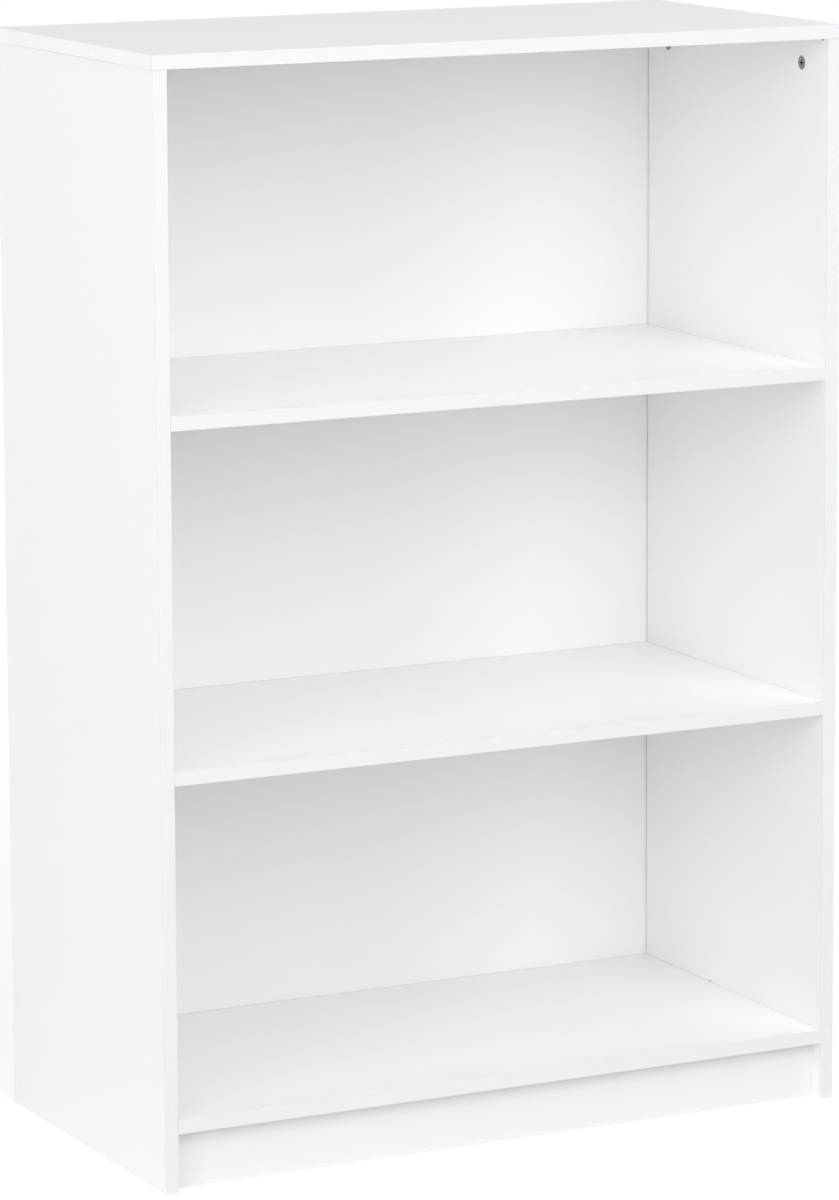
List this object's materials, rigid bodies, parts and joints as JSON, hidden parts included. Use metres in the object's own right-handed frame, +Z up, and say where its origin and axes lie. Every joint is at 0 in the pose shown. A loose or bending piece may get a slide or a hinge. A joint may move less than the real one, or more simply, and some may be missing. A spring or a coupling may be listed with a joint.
{
  "type": "bookcase",
  "caption": "White flat-pack bookcase with open compartments, a top laid over the sides, a recessed plinth, a thin grooved back and cam-lock joints.",
  "frame": {"origin": "on the floor, under the middle of the top panel", "axes": "+X to the right seen from the front, +Y from the front to the back, +Z up"},
  "size_m": [0.8, 0.4, 1.17],
  "materials": {
    "white_board": "white melamine-faced particle board, satin, raw at the unbanded edges",
    "white_edging": "white edging strip, satin",
    "back_hardboard": "thin hardboard, white on the front, brown behind",
    "cam_zinc": "bare cast zinc",
    "bolt_steel": "zinc-plated steel",
    "dowel_wood": "bare hardwood",
    "nail_steel": "bright steel"
  },
  "bodies": {
    "carcass": {"back_panel": "back_hardboard", "back_panel_nails": "nail_steel", "bottom_shelf": "white_board", "bottom_shelf_cam_bolts": "bolt_steel", "bottom_shelf_dowels": "dowel_wood", "bottom_shelf_edging": "white_edging", "left_side_front_edging": "white_edging", "left_side_panel": "white_board", "lower_shelf": "white_board", "lower_shelf_cam_bolts": "bolt_steel", "lower_shelf_dowels": "dowel_wood", "lower_shelf_edging": "white_edging", "plinth_board": "white_board", "plinth_dowels": "dowel_wood", "right_side_front_edging": "white_edging", "right_side_panel": "white_board", "top_cam_bolts": "bolt_steel", "top_dowels": "dowel_wood", "top_front_edging": "white_edging", "top_left_edging": "white_edging", "top_panel": "white_board", "top_right_edging": "white_edging", "upper_shelf": "white_board", "upper_shelf_cam_bolts": "bolt_steel", "upper_shelf_dowels": "dowel_wood", "upper_shelf_edging": "white_edging"},
    "bottom_shelf_left_front_cam": {"bottom_shelf_left_front_cam": "cam_zinc"},
    "bottom_shelf_left_rear_cam": {"bottom_shelf_left_rear_cam": "cam_zinc"},
    "bottom_shelf_right_front_cam": {"bottom_shelf_right_front_cam": "cam_zinc"},
    "bottom_shelf_right_rear_cam": {"bottom_shelf_right_rear_cam": "cam_zinc"},
    "lower_shelf_left_front_cam": {"lower_shelf_left_front_cam": "cam_zinc"},
    "lower_shelf_left_rear_cam": {"lower_shelf_left_rear_cam": "cam_zinc"},
    "lower_shelf_right_front_cam": {"lower_shelf_right_front_cam": "cam_zinc"},
    "lower_shelf_right_rear_cam": {"lower_shelf_right_rear_cam": "cam_zinc"},
    "top_left_front_cam": {"top_left_front_cam": "cam_zinc"},
    "top_left_rear_cam": {"top_left_rear_cam": "cam_zinc"},
    "top_right_front_cam": {"top_right_front_cam": "cam_zinc"},
    "top_right_rear_cam": {"top_right_rear_cam": "cam_zinc"},
    "upper_shelf_left_front_cam": {"upper_shelf_left_front_cam": "cam_zinc"},
    "upper_shelf_left_rear_cam": {"upper_shelf_left_rear_cam": "cam_zinc"},
    "upper_shelf_right_front_cam": {"upper_shelf_right_front_cam": "cam_zinc"},
    "upper_shelf_right_rear_cam": {"upper_shelf_right_rear_cam": "cam_zinc"}
  },
  "joints": [
    {"name": "top_left_front_cam_turn", "type": "hinge", "parent": "carcass", "child": "top_left_front_cam", "pos_m": [-0.383, -0.144, 1.126], "axis": [1, 0, 0], "range_deg": [0, 180]},
    {"name": "top_left_rear_cam_turn", "type": "hinge", "parent": "carcass", "child": "top_left_rear_cam", "pos_m": [-0.383, 0.145, 1.126], "axis": [1, 0, 0], "range_deg": [0, 180]},
    {"name": "bottom_shelf_left_front_cam_turn", "type": "hinge", "parent": "carcass", "child": "bottom_shelf_left_front_cam", "pos_m": [-0.354, -0.144, 0.062], "axis": [0, 0, -1], "range_deg": [0, 180]},
    {"name": "bottom_shelf_left_rear_cam_turn", "type": "hinge", "parent": "carcass", "child": "bottom_shelf_left_rear_cam", "pos_m": [-0.354, 0.145, 0.062], "axis": [0, 0, -1], "range_deg": [0, 180]},
    {"name": "lower_shelf_left_front_cam_turn", "type": "hinge", "parent": "carcass", "child": "lower_shelf_left_front_cam", "pos_m": [-0.354, -0.144, 0.42633], "axis": [0, 0, -1], "range_deg": [0, 180]},
    {"name": "lower_shelf_left_rear_cam_turn", "type": "hinge", "parent": "carcass", "child": "lower_shelf_left_rear_cam", "pos_m": [-0.354, 0.145, 0.42633], "axis": [0, 0, -1], "range_deg": [0, 180]},
    {"name": "upper_shelf_left_front_cam_turn", "type": "hinge", "parent": "carcass", "child": "upper_shelf_left_front_cam", "pos_m": [-0.354, -0.144, 0.79067], "axis": [0, 0, -1], "range_deg": [0, 180]},
    {"name": "upper_shelf_left_rear_cam_turn", "type": "hinge", "parent": "carcass", "child": "upper_shelf_left_rear_cam", "pos_m": [-0.354, 0.145, 0.79067], "axis": [0, 0, -1], "range_deg": [0, 180]},
    {"name": "top_right_front_cam_turn", "type": "hinge", "parent": "carcass", "child": "top_right_front_cam", "pos_m": [0.383, -0.144, 1.126], "axis": [-1, 0, 0], "range_deg": [0, 180]},
    {"name": "top_right_rear_cam_turn", "type": "hinge", "parent": "carcass", "child": "top_right_rear_cam", "pos_m": [0.383, 0.145, 1.126], "axis": [-1, 0, 0], "range_deg": [0, 180]},
    {"name": "bottom_shelf_right_front_cam_turn", "type": "hinge", "parent": "carcass", "child": "bottom_shelf_right_front_cam", "pos_m": [0.354, -0.144, 0.062], "axis": [0, 0, -1], "range_deg": [0, 180]},
    {"name": "bottom_shelf_right_rear_cam_turn", "type": "hinge", "parent": "carcass", "child": "bottom_shelf_right_rear_cam", "pos_m": [0.354, 0.145, 0.062], "axis": [0, 0, -1], "range_deg": [0, 180]},
    {"name": "lower_shelf_right_front_cam_turn", "type": "hinge", "parent": "carcass", "child": "lower_shelf_right_front_cam", "pos_m": [0.354, -0.144, 0.42633], "axis": [0, 0, -1], "range_deg": [0, 180]},
    {"name": "lower_shelf_right_rear_cam_turn", "type": "hinge", "parent": "carcass", "child": "lower_shelf_right_rear_cam", "pos_m": [0.354, 0.145, 0.42633], "axis": [0, 0, -1], "range_deg": [0, 180]},
    {"name": "upper_shelf_right_front_cam_turn", "type": "hinge", "parent": "carcass", "child": "upper_shelf_right_front_cam", "pos_m": [0.354, -0.144, 0.79067], "axis": [0, 0, -1], "range_deg": [0, 180]},
    {"name": "upper_shelf_right_rear_cam_turn", "type": "hinge", "parent": "carcass", "child": "upper_shelf_right_rear_cam", "pos_m": [0.354, 0.145, 0.79067], "axis": [0, 0, -1], "range_deg": [0, 180]}
  ]
}
